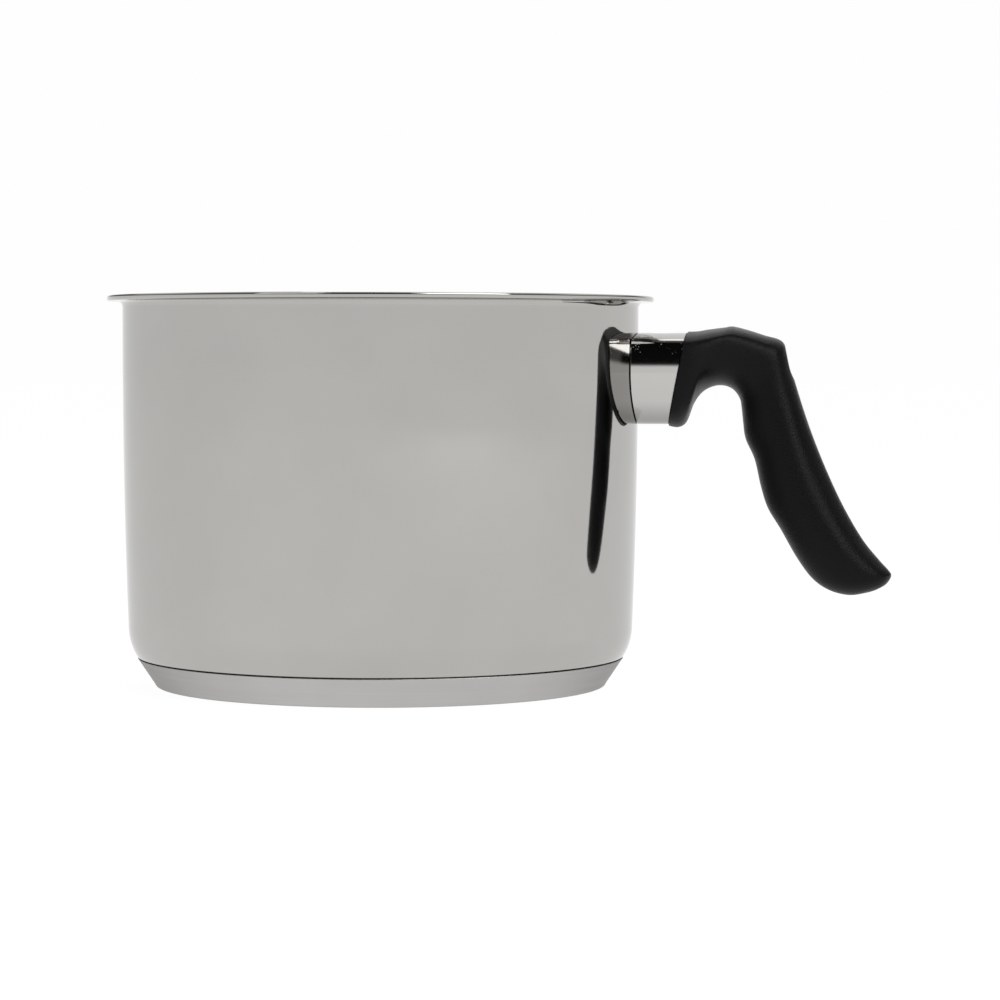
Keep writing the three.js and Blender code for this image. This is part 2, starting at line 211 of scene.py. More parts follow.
def arc(centre_r, centre_z, reach, rise, start, end, steps):
    """Points on an elliptic arc, from one angle to another in degrees."""
    angles = np.radians(np.linspace(start, end, steps + 1))
    return [(centre_r + reach * math.cos(a), centre_z + rise * math.sin(a)) for a in angles]


def fine(points, longest=2.0, guard=0.2):
    """The same line with its long straight stretches cut up, and a short stretch next to each corner."""
    out = [points[0]]
    for a, b in zip(points, points[1:]):
        length = math.dist(a, b)
        if length > longest:
            count = int(length / longest) + 1
            shares = [guard / length, *(i / count for i in range(1, count)), 1 - guard / length]
            out += [(a[0] + (b[0] - a[0]) * t, a[1] + (b[1] - a[1]) * t) for t in shares]
        out.append(b)
    return out


def turned(name, profile, facets=360, sharp=32):
    """A profile of (radius, height) pairs turned round Z, going out and up on its outer side."""
    angles = np.linspace(0, 2 * math.pi, facets, endpoint=False)
    around = np.stack([np.cos(angles), np.sin(angles), np.zeros(facets)], axis=1)
    verts, rings = [], []
    for radius, z in profile:
        start = len(verts)
        if radius < 1e-6:
            verts.append((0.0, 0.0, z))
            rings.append([start] * facets)
        else:
            verts.extend((around * radius + (0, 0, z)).tolist())
            rings.append(list(range(start, start + facets)))
    faces = []
    for low, high in zip(rings, rings[1:]):
        for j in range(facets):
            k = (j + 1) % facets
            face = [low[j], low[k], high[k], high[j]]
            if low[j] == low[k]:
                face = [low[j], high[k], high[j]]
            elif high[j] == high[k]:
                face = [low[j], low[k], high[j]]
            faces.append(face)
    return add_object(name, verts, faces, sharp)


def ring_faces(ring_count, count, closed=False):
    """Four-sided faces between neighbouring rings that have the same number of points."""
    faces = []
    for r in range(ring_count if closed else ring_count - 1):
        s = (r + 1) % ring_count
        for i in range(count):
            j = (i + 1) % count
            faces.append([r * count + i, r * count + j, s * count + j, s * count + i])
    return faces


def turned_on_screw(name, profile, facets=96, sharp=32):
    """A profile of (radius, x) pairs turned round the screw's axis."""
    obj = turned(name, profile, facets, sharp)
    obj.data.transform(Matrix.Translation((0, 0, SCREW_Z * MM)) @ Matrix.Rotation(math.pi / 2, 4, "Y"))
    return obj


# ---------------------------------------------------------------- the two vessels and the base
def wall_radius(z):
    """Radius of the outer wall at a height: it draws in more and more towards its foot."""
    drawn = np.clip((FLANGE_UNDERSIDE - z) / (FLANGE_UNDERSIDE - BEND_TOP), 0, None)
    return BODY_RADIUS - WALL_DRAW * drawn**WALL_DRAW_POWER


def wall_line(inset):
    """The outer shell's line from the middle of its floor up to the bend under the rim."""
    step = SEAM_HEIGHT + inset
    points = [(0, BASE_THICKNESS + inset)]
    reach, rise = SEAM_RADIUS - FLOOR_RADIUS - inset, step - BASE_THICKNESS - inset
    points += arc(FLOOR_RADIUS, step, reach, rise, -90, 0, 14)
    first = -math.degrees(math.asin((BEND_TOP - step - SEAM_STEP) / (BEND_DROP - inset)))
    points += arc(WALL_FOOT - BEND_REACH, BEND_TOP, BEND_REACH - inset, BEND_DROP - inset, first, 0, 40)
    for z in np.linspace(BEND_TOP, FLANGE_UNDERSIDE - RIM_BEND, 62)[1:-1]:
        points.append((float(wall_radius(z)) - inset, float(z)))
    return points


def make_outer_shell():
    """The outer wall with its floor, its flange under the rim and the window into the ferrule."""
    bend_x, bend_z = BODY_RADIUS + RIM_BEND, FLANGE_UNDERSIDE - RIM_BEND
    flange_end = RIM_RADIUS - LIP_WIDTH - GAP
    flange_top = FLANGE_UNDERSIDE + SHEET
    profile = wall_line(0)
    profile += arc(bend_x, bend_z, RIM_BEND, RIM_BEND, 180, 90, 16)
    profile += [(flange_end, FLANGE_UNDERSIDE), (flange_end, flange_top)]
    profile += arc(bend_x, bend_z, RIM_BEND + SHEET, RIM_BEND + SHEET, 90, 180, 16)
    profile += wall_line(SHEET)[::-1]
    shell = turned("outer_shell_polished", fine(profile))
    start, end = BODY_RADIUS - WINDOW_RADIUS, BODY_RADIUS + WINDOW_RADIUS
    outline = [(0, start), (WINDOW_RADIUS, start), (WINDOW_RADIUS, end), (0, end)]
    window = turned("window", outline, 64)
    lift = Matrix.Translation((0, 0, (WIDEST_LINE - WINDOW_DROP) * MM))
    window.data.transform(lift @ Matrix.Rotation(math.pi / 2, 4, "Y"))
    return cut(shell, window)


def bowl_line(inset):
    """The inner bowl's line from the middle of its floor up to the flat of the rim."""
    top_radius = BODY_RADIUS - SHEET - JACKET_GAP - inset
    shoulder_z = TOTAL_HEIGHT - SHEET - BOWL_SHOULDER
    corner = BOWL_CORNER - inset
    floor_z = BASE_THICKNESS + SHEET + JACKET_DEPTH + inset
    points = [(0, floor_z)]
    points += arc(top_radius - BOWL_DRAW - corner, floor_z + corner, corner, corner, -90, 0, 28)
    bend = BOWL_SHOULDER + inset
    points += arc(top_radius + bend, shoulder_z, bend, bend, 180, 90, 18)
    return points


def make_inner_bowl():
    """The wax bowl, with its flange folded down round the wall's flange."""
    lip_inside = RIM_RADIUS - LIP_WIDTH - FOLD_CLOSED * GAP
    corner = RIM_RADIUS - LIP_ROUND
    profile = bowl_line(0)
    bevel = 0.1
    profile += [(lip_inside, TOTAL_HEIGHT - SHEET), (lip_inside, FLANGE_UNDERSIDE + bevel)]
    profile += [(lip_inside + bevel, FLANGE_UNDERSIDE)]
    profile += arc(corner, FLANGE_UNDERSIDE + LIP_ROUND, LIP_ROUND, LIP_ROUND, -90, 0, 10)
    profile += arc(corner, TOTAL_HEIGHT - LIP_ROUND, LIP_ROUND, LIP_ROUND, 0, 90, 10)
    profile += bowl_line(SHEET)[::-1]
    return turned("inner_bowl_polished", fine(profile))


def cap_side_radius(z, inset):
    """Radius of the base cap's slanted side at a height."""
    foot_radius = CAP_FOOT_RADIUS + CAP_FOOT_ROUND
    slope = (CAP_TOP_RADIUS - foot_radius) / (CAP_TOP_HEIGHT - CAP_FOOT_ROUND / 2)
    return foot_radius + slope * (z - CAP_FOOT_ROUND / 2) - inset * math.hypot(1, slope)


def make_base_cap():
    """The cap under the base, with a rounded foot and a thin rounded top edge."""
    foot = CAP_FOOT_ROUND / 2
    foot_top = CAP_SHEET + foot
    profile = [(0, 0)]
    profile += arc(CAP_FOOT_RADIUS, foot, CAP_FOOT_ROUND, foot, -90, -8, 10)
    profile += [(cap_side_radius(z, 0), z) for z in np.linspace(foot * 1.4, CAP_TOP_HEIGHT, 12)]
    top = CAP_TOP_HEIGHT + CAP_SHEET / 2
    round_top = [(0.02, CAP_TOP_HEIGHT + 0.1), (0.1, top - 0.04), (0.22, top), (0.4, top - 0.04)]
    inner_side = [(CAP_SHEET, CAP_TOP_HEIGHT), (CAP_SHEET, foot_top)]
    profile += [(cap_side_radius(z, inset), z) for inset, z in round_top + inner_side]
    profile += [(CAP_FOOT_RADIUS, CAP_SHEET), (0, CAP_SHEET)]
    return turned("base_cap_satin", fine(profile))


# ---------------------------------------------------------------- ferrule
def curve_through(start, control, end, steps):
    """Points on a quadratic curve pulled towards its control point."""
    t = np.linspace(0, 1, steps + 1)[:, None]
    start, control, end = (np.array(p, float) for p in (start, control, end))
    return (1 - t) ** 2 * start + 2 * t * (1 - t) * control + t**2 * end


def ferrule_outline(inset):
    """Closed outline in (y, height above the widest line), the same number of points for every inset."""
    side = FERRULE_HALF_WIDTH - inset
    edge = side - FERRULE_TAPER
    edge_z = FERRULE_EDGE_HEIGHT - inset
    round_ = FERRULE_EDGE_ROUND
    foot = edge_z + round_ * FERRULE_EDGE_BLEND
    low = np.array(arc(0, 0, side, side, 180, 360, LOW_ARC_STEPS))
    height = np.linspace(0, edge_z - round_, 27)[1:]
    lean = FERRULE_TAPER * (height / height[-1]) ** 2
    wall = np.stack([side - lean, height], axis=1)
    corner = curve_through((edge, edge_z - round_), (edge, edge_z), (edge - round_, foot), 12)[1:]
    crown = curve_through(corner[-1], (0, edge_z + 2 * FERRULE_CROWN), corner[-1] * (-1, 1), 60)[1:]
    back = np.concatenate([wall, corner])[::-1][1:-1] * (-1, 1)
    return np.concatenate([low, wall, corner, crown, back])[:-1]


def outward_normals(outline):
    """Unit normals of a closed outline, pointing out of it."""
    along = np.roll(outline, -1, axis=0) - np.roll(outline, 1, axis=0)
    normals = np.stack([along[:, 1], -along[:, 0]], axis=1)
    return normals / np.linalg.norm(normals, axis=1, keepdims=True)


def weld_swell(outline, distance):
    """Height of the weld at the two top corners, at a distance from the pot's wall."""
    swell = np.zeros(len(outline))
    for side in (-1, 1):
        middle = (side * (FERRULE_HALF_WIDTH - FERRULE_TAPER - 0.5), FERRULE_EDGE_HEIGHT + 0.15)
        across = np.linalg.norm(outline - np.array(middle), axis=1)
        fall = np.clip(1 - (distance / WELD_REACH) ** 2, 0, None)
        swell += WELD_HEIGHT * np.exp(-((across / WELD_WIDTH) ** 2)) * fall
    return swell


def make_ferrule():
    """The sleeve as rings: out along its outer side, round the collar's end and back inside."""
    count = len(ferrule_outline(0))
    wall_gap, collar_gap = GAP * 0.8, GAP * 0.5  # a little tighter than the CAD's
    rows = []

    def row(inset, share, weld=False, setback=0.0):
        """One ring, at a share of the way from the pot's wall to the collar."""
        outline = ferrule_outline(inset)
        z = WIDEST_LINE + outline[:, 1]
        near = np.sqrt((wall_radius(z) + wall_gap) ** 2 - outline[:, 0] ** 2)
        far = COLLAR_X - collar_gap - setback + outline[:, 1] * COLLAR_LEAN
        x = near + (far - near) * share
        if weld:
            swell = weld_swell(outline, share * FERRULE_LENGTH)
            outline = outline + outward_normals(outline) * swell[:, None]
        rows.append(np.stack([x, outline[:, 0], WIDEST_LINE + outline[:, 1]], axis=1))

    shares = 0.5 - 0.5 * np.cos(np.linspace(0, math.pi, 41))  # close together at both ends
    for inset, share in ((0.12, 0.0), (0.03, 0.008)):  # the round at the wall
        row(inset, share, True)
    for share in shares[2:-1]:
        row(0, share, True)
    for inset, setback in ((0, 0.14), (0.04, 0.04), (0.14, 0)):  # the round at the collar
        row(inset, 1, setback=setback)
    for share in (1, *shares[-3:2:-4], 0):
        row(FERRULE_SHEET, share)
    faces = ring_faces(len(rows), count, closed=True)
    ferrule = add_object("handle_ferrule_polished", np.concatenate(rows), faces)
    face_outwards(ferrule)
    top = WIDEST_LINE + FERRULE_EDGE_HEIGHT + FERRULE_CROWN
    mouth_radius = FILLER_RADIUS + FILLER_FLARE
    start, end = top - 6, top + 2
    flare_start, flare_end = top - 0.45, top + 0.25
    hole = [(0, start), (FILLER_RADIUS, start), (FILLER_RADIUS, flare_start)]
    hole += [(mouth_radius, flare_end), (mouth_radius, end), (0, end)]
    filler = turned("filler", hole, 128)
    filler.data.transform(Matrix.Translation((FILLER_X * MM, 0, 0)))
    return cut(ferrule, filler)


# ---------------------------------------------------------------- grip
def smooth_stations(stations, steps):
    """The values through every station on a Catmull-Rom curve, each with its place in the list."""
    rows = np.array(stations, float)
    near_face = [0.012, 0.03, 0.06, 0.1]
    out = []
    for i in range(len(rows) - 1):
        a, b = rows[i], rows[i + 1]
        before, after = rows[max(i - 1, 0)], rows[min(i + 2, len(rows) - 1)]
        shares = np.linspace(0, 1, steps, endpoint=False)
        if i == 0:
            shares = np.unique(np.concatenate([shares, near_face]))
        for t in shares:
            bend = (b - before) * t + (2 * before - 5 * a + 4 * b - after) * t**2
            bend += (3 * a - before - 3 * b + after) * t**3
            values = np.clip(a + bend / 2, rows.min(axis=0), rows.max(axis=0))
            out.append((values, i + t))
    out.append((rows[-1], len(rows) - 1))
    return out


def even_points(points, count):
    """Points evenly spaced along an open line."""
    steps = np.linalg.norm(np.diff(points, axis=0), axis=1)
    travelled = np.concatenate([[0], np.cumsum(steps)])
    wanted = np.linspace(0, travelled[-1], count, endpoint=False)
    return np.stack([np.interp(wanted, travelled, points[:, k]) for k in range(points.shape[1])], axis=1)


def grip_section(station, half_count, inset):
    """One section of the grip: a squarish outer side with a crown, and a half-round inner side."""
    outer_x, outer_z, inner_x, inner_z, half_width, squareness = station
    thick = math.hypot(outer_x - inner_x, outer_z - inner_z)
    angles = np.linspace(0, math.pi, 1801)
    width = half_width - inset
    upper_rise = thick * (1 - GRIP_SPRING_LINE) - inset
    lower_rise = thick * GRIP_SPRING_LINE - inset
    power = 2 / squareness
    cos, sin = np.cos(angles), np.clip(np.sin(angles), 0, None)
    across = np.abs(cos) ** power
    crown = FERRULE_CROWN * (half_width / FACE_HALF_WIDTH) ** 2 * across**GRIP_CROWN_POWER
    upper = np.stack([width * np.sign(cos) * across, (upper_rise - crown) * sin**power], axis=1)
    lower = np.stack([-width * cos, -lower_rise * sin], axis=1)
    outline = np.concatenate([even_points(upper, half_count), even_points(lower, half_count)])
    direction = np.array([outer_x - inner_x, outer_z - inner_z]) / thick
    spring = np.array([inner_x, inner_z]) + direction * thick * GRIP_SPRING_LINE
    place = spring + outline[:, 1:] * direction
    return np.stack([COLLAR_X + place[:, 0], outline[:, 0], WIDEST_LINE + place[:, 1]], axis=1)


def spigot_ring(setback, count):
    """The spigot's outline, on the plane behind the grip's face, matched to the grip's sections."""
    outline = ferrule_outline(FERRULE_SHEET + GAP)
    upper = np.concatenate([outline[LOW_ARC_STEPS:], outline[:1]])
    lower = outline[: LOW_ARC_STEPS + 1]
    points = np.concatenate([even_points(upper, count // 2), even_points(lower, count // 2)])
    x = COLLAR_X - setback + points[:, 1] * COLLAR_LEAN
    return np.stack([x, points[:, 0], WIDEST_LINE + points[:, 1]], axis=1)


def make_grip():
    """The grip as rings: the spigot inside the ferrule, the face, the stations and a domed tip."""
    top = FERRULE_EDGE_HEIGHT + FERRULE_CROWN + COLLAR_PROUD
    bottom = -FERRULE_HALF_WIDTH - COLLAR_PROUD
    face = (top * COLLAR_LEAN, top, bottom * COLLAR_LEAN, bottom, FACE_HALF_WIDTH, FACE_SQUARENESS)
    half_count = 60
    count = 2 * half_count
    rings = [spigot_ring(SPIGOT_DEPTH * share, count) for share in (1, 0.5, 0)]
    edge = GRIP_FACE_EDGE
    first_step = 3.8
    for station, place in smooth_stations([face, *GRIP_STATIONS], 8):
        run = min(place * first_step, edge)
        inset = edge - math.sqrt(edge**2 - (edge - run) ** 2) if place < 1 else 0.0
        rings.append(grip_section(station, half_count, inset))
    last, before = rings[-1], rings[-2]
    heading = last.mean(axis=0) - before.mean(axis=0)
    heading /= np.linalg.norm(heading)
    middle = last.mean(axis=0)
    for angle in np.radians([15, 30, 45, 60, 75]):
        bulge = heading * GRIP_TIP_DOME * math.sin(angle)
        rings.append(middle + (last - middle) * math.cos(angle) + bulge)
    ends = [rings[0].mean(axis=0), middle + heading * GRIP_TIP_DOME]
    verts = np.concatenate([*rings, ends])
    faces = ring_faces(len(rings), count)
    last_ring = (len(rings) - 1) * count
    for i in range(count):
        j = (i + 1) % count
        faces.append([j, i, len(verts) - 2])
        faces.append([last_ring + i, last_ring + j, len(verts) - 1])
    grip = add_object("handle_grip_phenolic", verts, faces)
    face_outwards(grip)
    start, end = COLLAR_X - 12, RECESS_MOUTH_X + 12
    flare_start, flare_end = RECESS_MOUTH_X - 0.55, RECESS_MOUTH_X + 0.25
    bore_radius, mouth_radius = SCREW_RADIUS + GAP, RECESS_RADIUS + RECESS_FLARE
    bore = [(0, start), (bore_radius, start), (bore_radius, SEAT_X), (RECESS_RADIUS, SEAT_X)]
    bore += [(RECESS_RADIUS, flare_start), (mouth_radius, flare_end)]
    bore += [(mouth_radius, end), (0, end)]
    return cut(grip, turned_on_screw("bore", bore))


# ---------------------------------------------------------------- screw
def make_screw():
    """The screw with a domed head and a cross slot that narrows as it goes in."""
    tip = BOSS_END_X + SCREW_TIP_INSET
    crown = HEAD_X + HEAD_HEIGHT
    profile = [(0, tip), (SCREW_RADIUS - SCREW_TIP_CHAMFER, tip)]
    profile += [(SCREW_RADIUS, tip + SCREW_TIP_CHAMFER), (SCREW_RADIUS, HEAD_X)]
    profile += [(HEAD_RADIUS - HEAD_EDGE, HEAD_X), (HEAD_RADIUS, HEAD_X + HEAD_EDGE)]
    profile += arc(0, HEAD_X + HEAD_HEIGHT / 2, HEAD_RADIUS, HEAD_HEIGHT / 2, 0, 90, 20)
    screw = turned_on_screw("handle_screw_plated", fine(profile, 1.0, 0.1))
    blade_ends = [(crown - SLOT_DEPTH, SLOT_FLOOR_SHARE), (crown + 0.6, SLOT_TOP_SHARE)]
    blades = []
    for lies_across in (False, True):
        verts = []
        for x, share in blade_ends:
            y, z = SLOT_HALF_WIDTH, SLOT_REACH * share
            if lies_across:
                y, z = z, y
            verts += [(x, -y, SCREW_Z - z), (x, y, SCREW_Z - z), (x, y, SCREW_Z + z), (x, -y, SCREW_Z + z)]
        quads = [[0, 1, 2, 3], [7, 6, 5, 4], [0, 4, 5, 1], [1, 5, 6, 2], [2, 6, 7, 3], [3, 7, 4, 0]]
        blade = add_object("blade", verts, quads)
        face_outwards(blade)
        blades.append(blade)
    return cut(screw, *blades)


# ---------------------------------------------------------------- materials
class NodeTree:
    """A short way to write a node tree."""

    def __init__(self, tree):
        self.tree = tree

    def node(self, kind, inputs=None, **settings):
        made = self.tree.nodes.new(kind)
        for key, value in settings.items():
            setattr(made, key, value)
        for key, value in (inputs or {}).items():
            self.give(made.inputs[key], value)
        return made

    def give(self, socket, value):
        if isinstance(value, bpy.types.NodeSocket):
            self.tree.links.new(value, socket)
        else:
            socket.default_value = value

    def math(self, operation, a, b=0.0, c=0.0):
        return self.node("ShaderNodeMath", {0: a, 1: b, 2: c}, operation=operation).outputs[0]

    def scaled(self, vector, scale):
        return self.node("ShaderNodeMapping", {"Vector": vector, "Scale": scale}).outputs[0]

    def noise(self, vector, scale, detail=2.0, roughness=0.5):
        wanted = {"Vector": vector, "Scale": scale, "Detail": detail, "Roughness": roughness}
        return self.node("ShaderNodeTexNoise", wanted).outputs["Fac"]

    def ranged(self, value, low, high, to_low, to_high, smooth=False):
        kind = "SMOOTHSTEP" if smooth else "LINEAR"
        wanted = {"Value": value, "From Min": low, "From Max": high, "To Min": to_low, "To Max": to_high}
        return self.node("ShaderNodeMapRange", wanted, interpolation_type=kind).outputs["Result"]

    def mixed(self, share, first, second):
        wanted = {0: share, 6: first, 7: second}
        return self.node("ShaderNodeMix", wanted, data_type="RGBA").outputs[2]

    def bump(self, height, distance):
        wanted = {"Height": height, "Distance": distance, "Strength": 1.0}
        return self.node("ShaderNodeBump", wanted).outputs["Normal"]

    def split(self, vector):
        return self.node("ShaderNodeSeparateXYZ", {0: vector}).outputs

    def joined(self, x, y, z):
        return self.node("ShaderNodeCombineXYZ", {0: x, 1: y, 2: z}).outputs[0]


class Shader(NodeTree):
    """A new material's node tree, with its principled surface."""

    def __init__(self, name):
        self.material = bpy.data.materials.new(name)
        self.material.use_nodes = True
        super().__init__(self.material.node_tree)
        self.surface = self.tree.nodes["Principled BSDF"]

    def set(self, **values):
        for key, value in values.items():
            self.give(self.surface.inputs[key.replace("_", " ")], value)

    def place(self):
        return self.node("ShaderNodeTexCoord").outputs["Object"]

    def round_the_pot(self):
        """Coordinates that run round the pot's axis: metres along the turn, height, radius."""
        turn_radius = 0.08
        x, y, z = self.split(self.place())
        along = self.math("MULTIPLY", self.math("ARCTAN2", y, x), turn_radius)
        squares = self.math("ADD", self.math("MULTIPLY", x, x), self.math("MULTIPLY", y, y))
        return self.joined(along, z, self.math("SQRT", squares))


def hairlines(shader, vector, scale, keep):
    """A few very fine scratches: a stretched noise of which only the highest crests are left."""
    lines = shader.noise(shader.scaled(vector, scale), 1.0, 3.0, 0.6)
    return shader.ranged(lines, keep, keep + 0.05, 0.0, 1.0, True)


def painted_light_in_bend(shader, place, colour):
    """Painted light: the steel is painted lighter in the tight bend under the rim, where the light is
    dimmed by a second bounce.
    """
    height = shader.split(place)[2]
    low, high = (FLANGE_UNDERSIDE - 0.55) * MM, (FLANGE_UNDERSIDE - 0.25) * MM
    bend = shader.ranged(height, low, high, 0.0, 1.0)
    below_lip = shader.math("LESS_THAN", height, (FLANGE_UNDERSIDE + 0.02) * MM)
    return shader.mixed(shader.math("MULTIPLY", bend, below_lip), colour, (0.70, 0.695, 0.68, 1.0))


def heat_tint_and_painted_shade(shader, place, colour, rough):
    """The straw-coloured heat stains round the weld at the ferrule's two top corners, and painted shade: a
    near-black patch at each corner.
    """
    x, y, z = shader.split(place)
    near = shader.joined(x, shader.math("ABSOLUTE", y), z)
    stretch = (0.33, 0.5, 1.5)
    across = FERRULE_HALF_WIDTH - FERRULE_TAPER - 1.0
    weld = (BODY_RADIUS + 2.6, across, WIDEST_LINE + FERRULE_EDGE_HEIGHT + 0.3)
    corner = tuple(size * share * MM for size, share in zip(weld, stretch))
    wanted = {0: shader.scaled(near, stretch), 1: corner}
    reach = shader.node("ShaderNodeVectorMath", wanted, operation="DISTANCE").outputs["Value"]
    wobble = shader.math("MULTIPLY", shader.noise(place, 700.0, 2.0), 0.0012)
    distance = shader.math("ADD", reach, wobble)
    straw = shader.math("MULTIPLY", shader.ranged(distance, 0.0018, 0.0030, 1.0, 0.0, True), 0.45)
    # Painted shade: a near-black patch at each weld corner, which is also made rougher.
    painted_weld_shade = shader.ranged(distance, 0.0016, 0.0023, 1.0, 0.0, True)
    colour = shader.mixed(straw, colour, (0.30, 0.265, 0.215, 1.0))
    colour = shader.mixed(shader.math("MULTIPLY", painted_weld_shade, 0.95), colour, (0.030, 0.020, 0.018, 1.0))
    return colour, shader.math("ADD", rough, shader.math("MULTIPLY", painted_weld_shade, 0.22))


def specks(shader, place, rough):
    """Tiny rough flecks in the band under the ferrule's top edge."""
    dust = shader.node("ShaderNodeTexVoronoi", {"Vector": place, "Scale": 1700.0}, feature="F1")
    size = shader.ranged(shader.noise(place, 420.0, 1.0), 0.49, 0.70, 0.0, 0.27)
    dot = shader.math("LESS_THAN", dust.outputs["Distance"], size)
    edge = (WIDEST_LINE + FERRULE_EDGE_HEIGHT) * MM
    near_edge = shader.ranged(shader.split(place)[2], edge - 6.5 * MM, edge - 1.5 * MM, 0.0, 1.0, True)
    return shader.math("ADD", rough, shader.math("MULTIPLY", dot, shader.math("MULTIPLY", near_edge, 0.5)))


def painted_underside_shade(shader, place, colour):
    """Painted shade: the steel is painted darker on the underside of the ferrule's trough."""
    low = (WIDEST_LINE - FERRULE_HALF_WIDTH) * MM
    height = shader.split(place)[2]
    underside = shader.ranged(height, low - 0.5 * MM, low + 8 * MM, 0.75, 0.0, True)
    return shader.mixed(underside, colour, (0.20, 0.20, 0.19, 1.0))


def polished(name, tone, welded=False):
    """Mirror-polished steel: faint buffing lines, a few hairline scratches and slight smears."""
    shader = Shader(name)
    turn = shader.round_the_pot()
    place = shader.place()
    smear = shader.noise(place, 26.0, 3.0, 0.55)
    buffing = shader.noise(shader.scaled(turn, (30.0, 2600.0, 2600.0)), 1.0, 2.0, 0.6)
    scratch = hairlines(shader, place, (900.0, 900.0, 60.0), 0.72)
    rough = shader.ranged(smear, 0.3, 0.75, 0.028, 0.055)
    rough = shader.math("ADD", rough, shader.math("MULTIPLY", buffing, 0.02))
    rough = shader.math("ADD", rough, shader.math("MULTIPLY", scratch, 0.10))
    smeared = tuple(c * 0.955 for c in tone[:3]) + (1.0,)
    colour = shader.mixed(shader.ranged(smear, 0.35, 0.7, 0.0, 1.0), tone, smeared)
    # The ferrule gets heat stains, painted shade at its weld corners and painted shade underneath; the
    # pot's steel gets painted light in the bend under the rim.
    if welded:
        colour, rough = heat_tint_and_painted_shade(shader, place, colour, rough)
        rough = specks(shader, place, rough)
        colour = painted_underside_shade(shader, place, colour)
    else:
        colour = painted_light_in_bend(shader, place, colour)
    shader.set(Base_Color=colour, Metallic=1.0, Roughness=rough)
    shader.set(Specular_Tint=(0.86, 0.86, 0.86, 1.0))
    wave = shader.noise(shader.scaled(turn, (9.0, 16.0, 16.0)), 1.0, 1.0)
    wanted = {"Height": wave, "Distance": 0.00008, "Normal": shader.bump(buffing, 0.0000012)}
    shader.set(Normal=shader.node("ShaderNodeBump", wanted).outputs["Normal"])
    return shader.material


def satin():
    """Satin steel, turned on the lathe: close rings round the axis that stretch its highlights."""
    shader = Shader("satin_steel")
    turn = shader.round_the_pot()
    rings = shader.noise(shader.scaled(turn, (14.0, 3200.0, 3200.0)), 1.0, 3.0, 0.65)
    coarse = shader.noise(shader.scaled(turn, (5.0, 700.0, 700.0)), 1.0, 2.0, 0.5)
    cloud = shader.noise(shader.place(), 34.0, 2.0)
    colour = shader.mixed(rings, (0.42, 0.41, 0.405, 1.0), (0.55, 0.54, 0.535, 1.0))
    colour = shader.mixed(shader.ranged(cloud, 0.3, 0.7, 0.0, 0.35), colour, (0.40, 0.39, 0.385, 1.0))
    rough = shader.ranged(rings, 0.2, 0.8, 0.30, 0.42)
    rough = shader.math("ADD", rough, shader.math("MULTIPLY", coarse, 0.06))
    tangent = shader.node("ShaderNodeTangent", direction_type="RADIAL", axis="Z").outputs[0]
    height = shader.math("ADD", rings, shader.math("MULTIPLY", coarse, 0.6))
    shader.set(Base_Color=colour, Metallic=1.0, Roughness=rough, Anisotropic=0.55, Tangent=tangent)
    shader.set(Specular_Tint=(0.4, 0.4, 0.4, 1.0))
    shader.set(Normal=shader.bump(height, 0.000012))
    return shader.material


def phenolic():
    """Black phenolic, tumbled to a fine matt grain, slightly shinier where a hand rubs it."""
    shader = Shader("black_phenolic")
    place = shader.place()
    grain = shader.noise(place, 3100.0, 2.0, 0.55)
    cells = {"Vector": place, "Scale": 2200.0}
    skin = shader.node("ShaderNodeTexVoronoi", cells, feature="SMOOTH_F1")
    pebble = shader.ranged(skin.outputs["Distance"], 0.0, 0.7, 0.0, 1.0)
    broad = shader.noise(place, 60.0, 2.0)
    colour = shader.mixed(grain, (0.0006, 0.0006, 0.0008, 1.0), (0.0022, 0.0022, 0.0028, 1.0))
    rough = shader.ranged(broad, 0.3, 0.7, 0.28, 0.37)
    rough = shader.math("ADD", rough, shader.math("MULTIPLY", grain, 0.08))
    shader.set(Base_Color=colour, Roughness=rough, Specular_IOR_Level=0.13)
    height = shader.math("ADD", grain, shader.math("MULTIPLY", pebble, 0.8))
    shader.set(Normal=shader.bump(height, 0.00007))
    return shader.material


def plated():
    """Zinc-plated steel, for the fixings."""
    shader = Shader("fixing_steel")
    place = shader.place()
    mottle = shader.noise(place, 900.0, 3.0, 0.6)
    colour = shader.mixed(mottle, (0.46, 0.47, 0.48, 1.0), (0.60, 0.60, 0.58, 1.0))
    shader.set(Base_Color=colour, Metallic=1.0, Roughness=shader.ranged(mottle, 0.3, 0.7, 0.24, 0.38))
    shader.set(Normal=shader.bump(mottle, 0.00002))
    return shader.material


def rolled_aluminium():
    """Plain rolled aluminium, with fine lines all one way."""
    shader = Shader("core_aluminium")
    place = shader.place()
    rolling = shader.noise(shader.scaled(place, (40.0, 1800.0, 1800.0)), 1.0, 2.0)
    colour = shader.mixed(rolling, (0.72, 0.73, 0.74, 1.0), (0.84, 0.85, 0.86, 1.0))
    shader.set(Base_Color=colour, Metallic=1.0, Roughness=shader.ranged(rolling, 0.2, 0.8, 0.34, 0.5))
    shader.set(Normal=shader.bump(rolling, 0.00002))
    return shader.material


STEEL_TONE = (0.450, 0.444, 0.428, 1.0)
# Painted light: the ferrule's copy of the polished steel is painted a little lighter than the pot's.
FERRULE_PAINTED_LIGHTER_TONE = (0.515, 0.505, 0.49, 1.0)
steel = polished("polished_steel", STEEL_TONE)
ferrule_steel = polished("polished_steel_welded_painted_light", FERRULE_PAINTED_LIGHTER_TONE, welded=True)
fixings = plated()

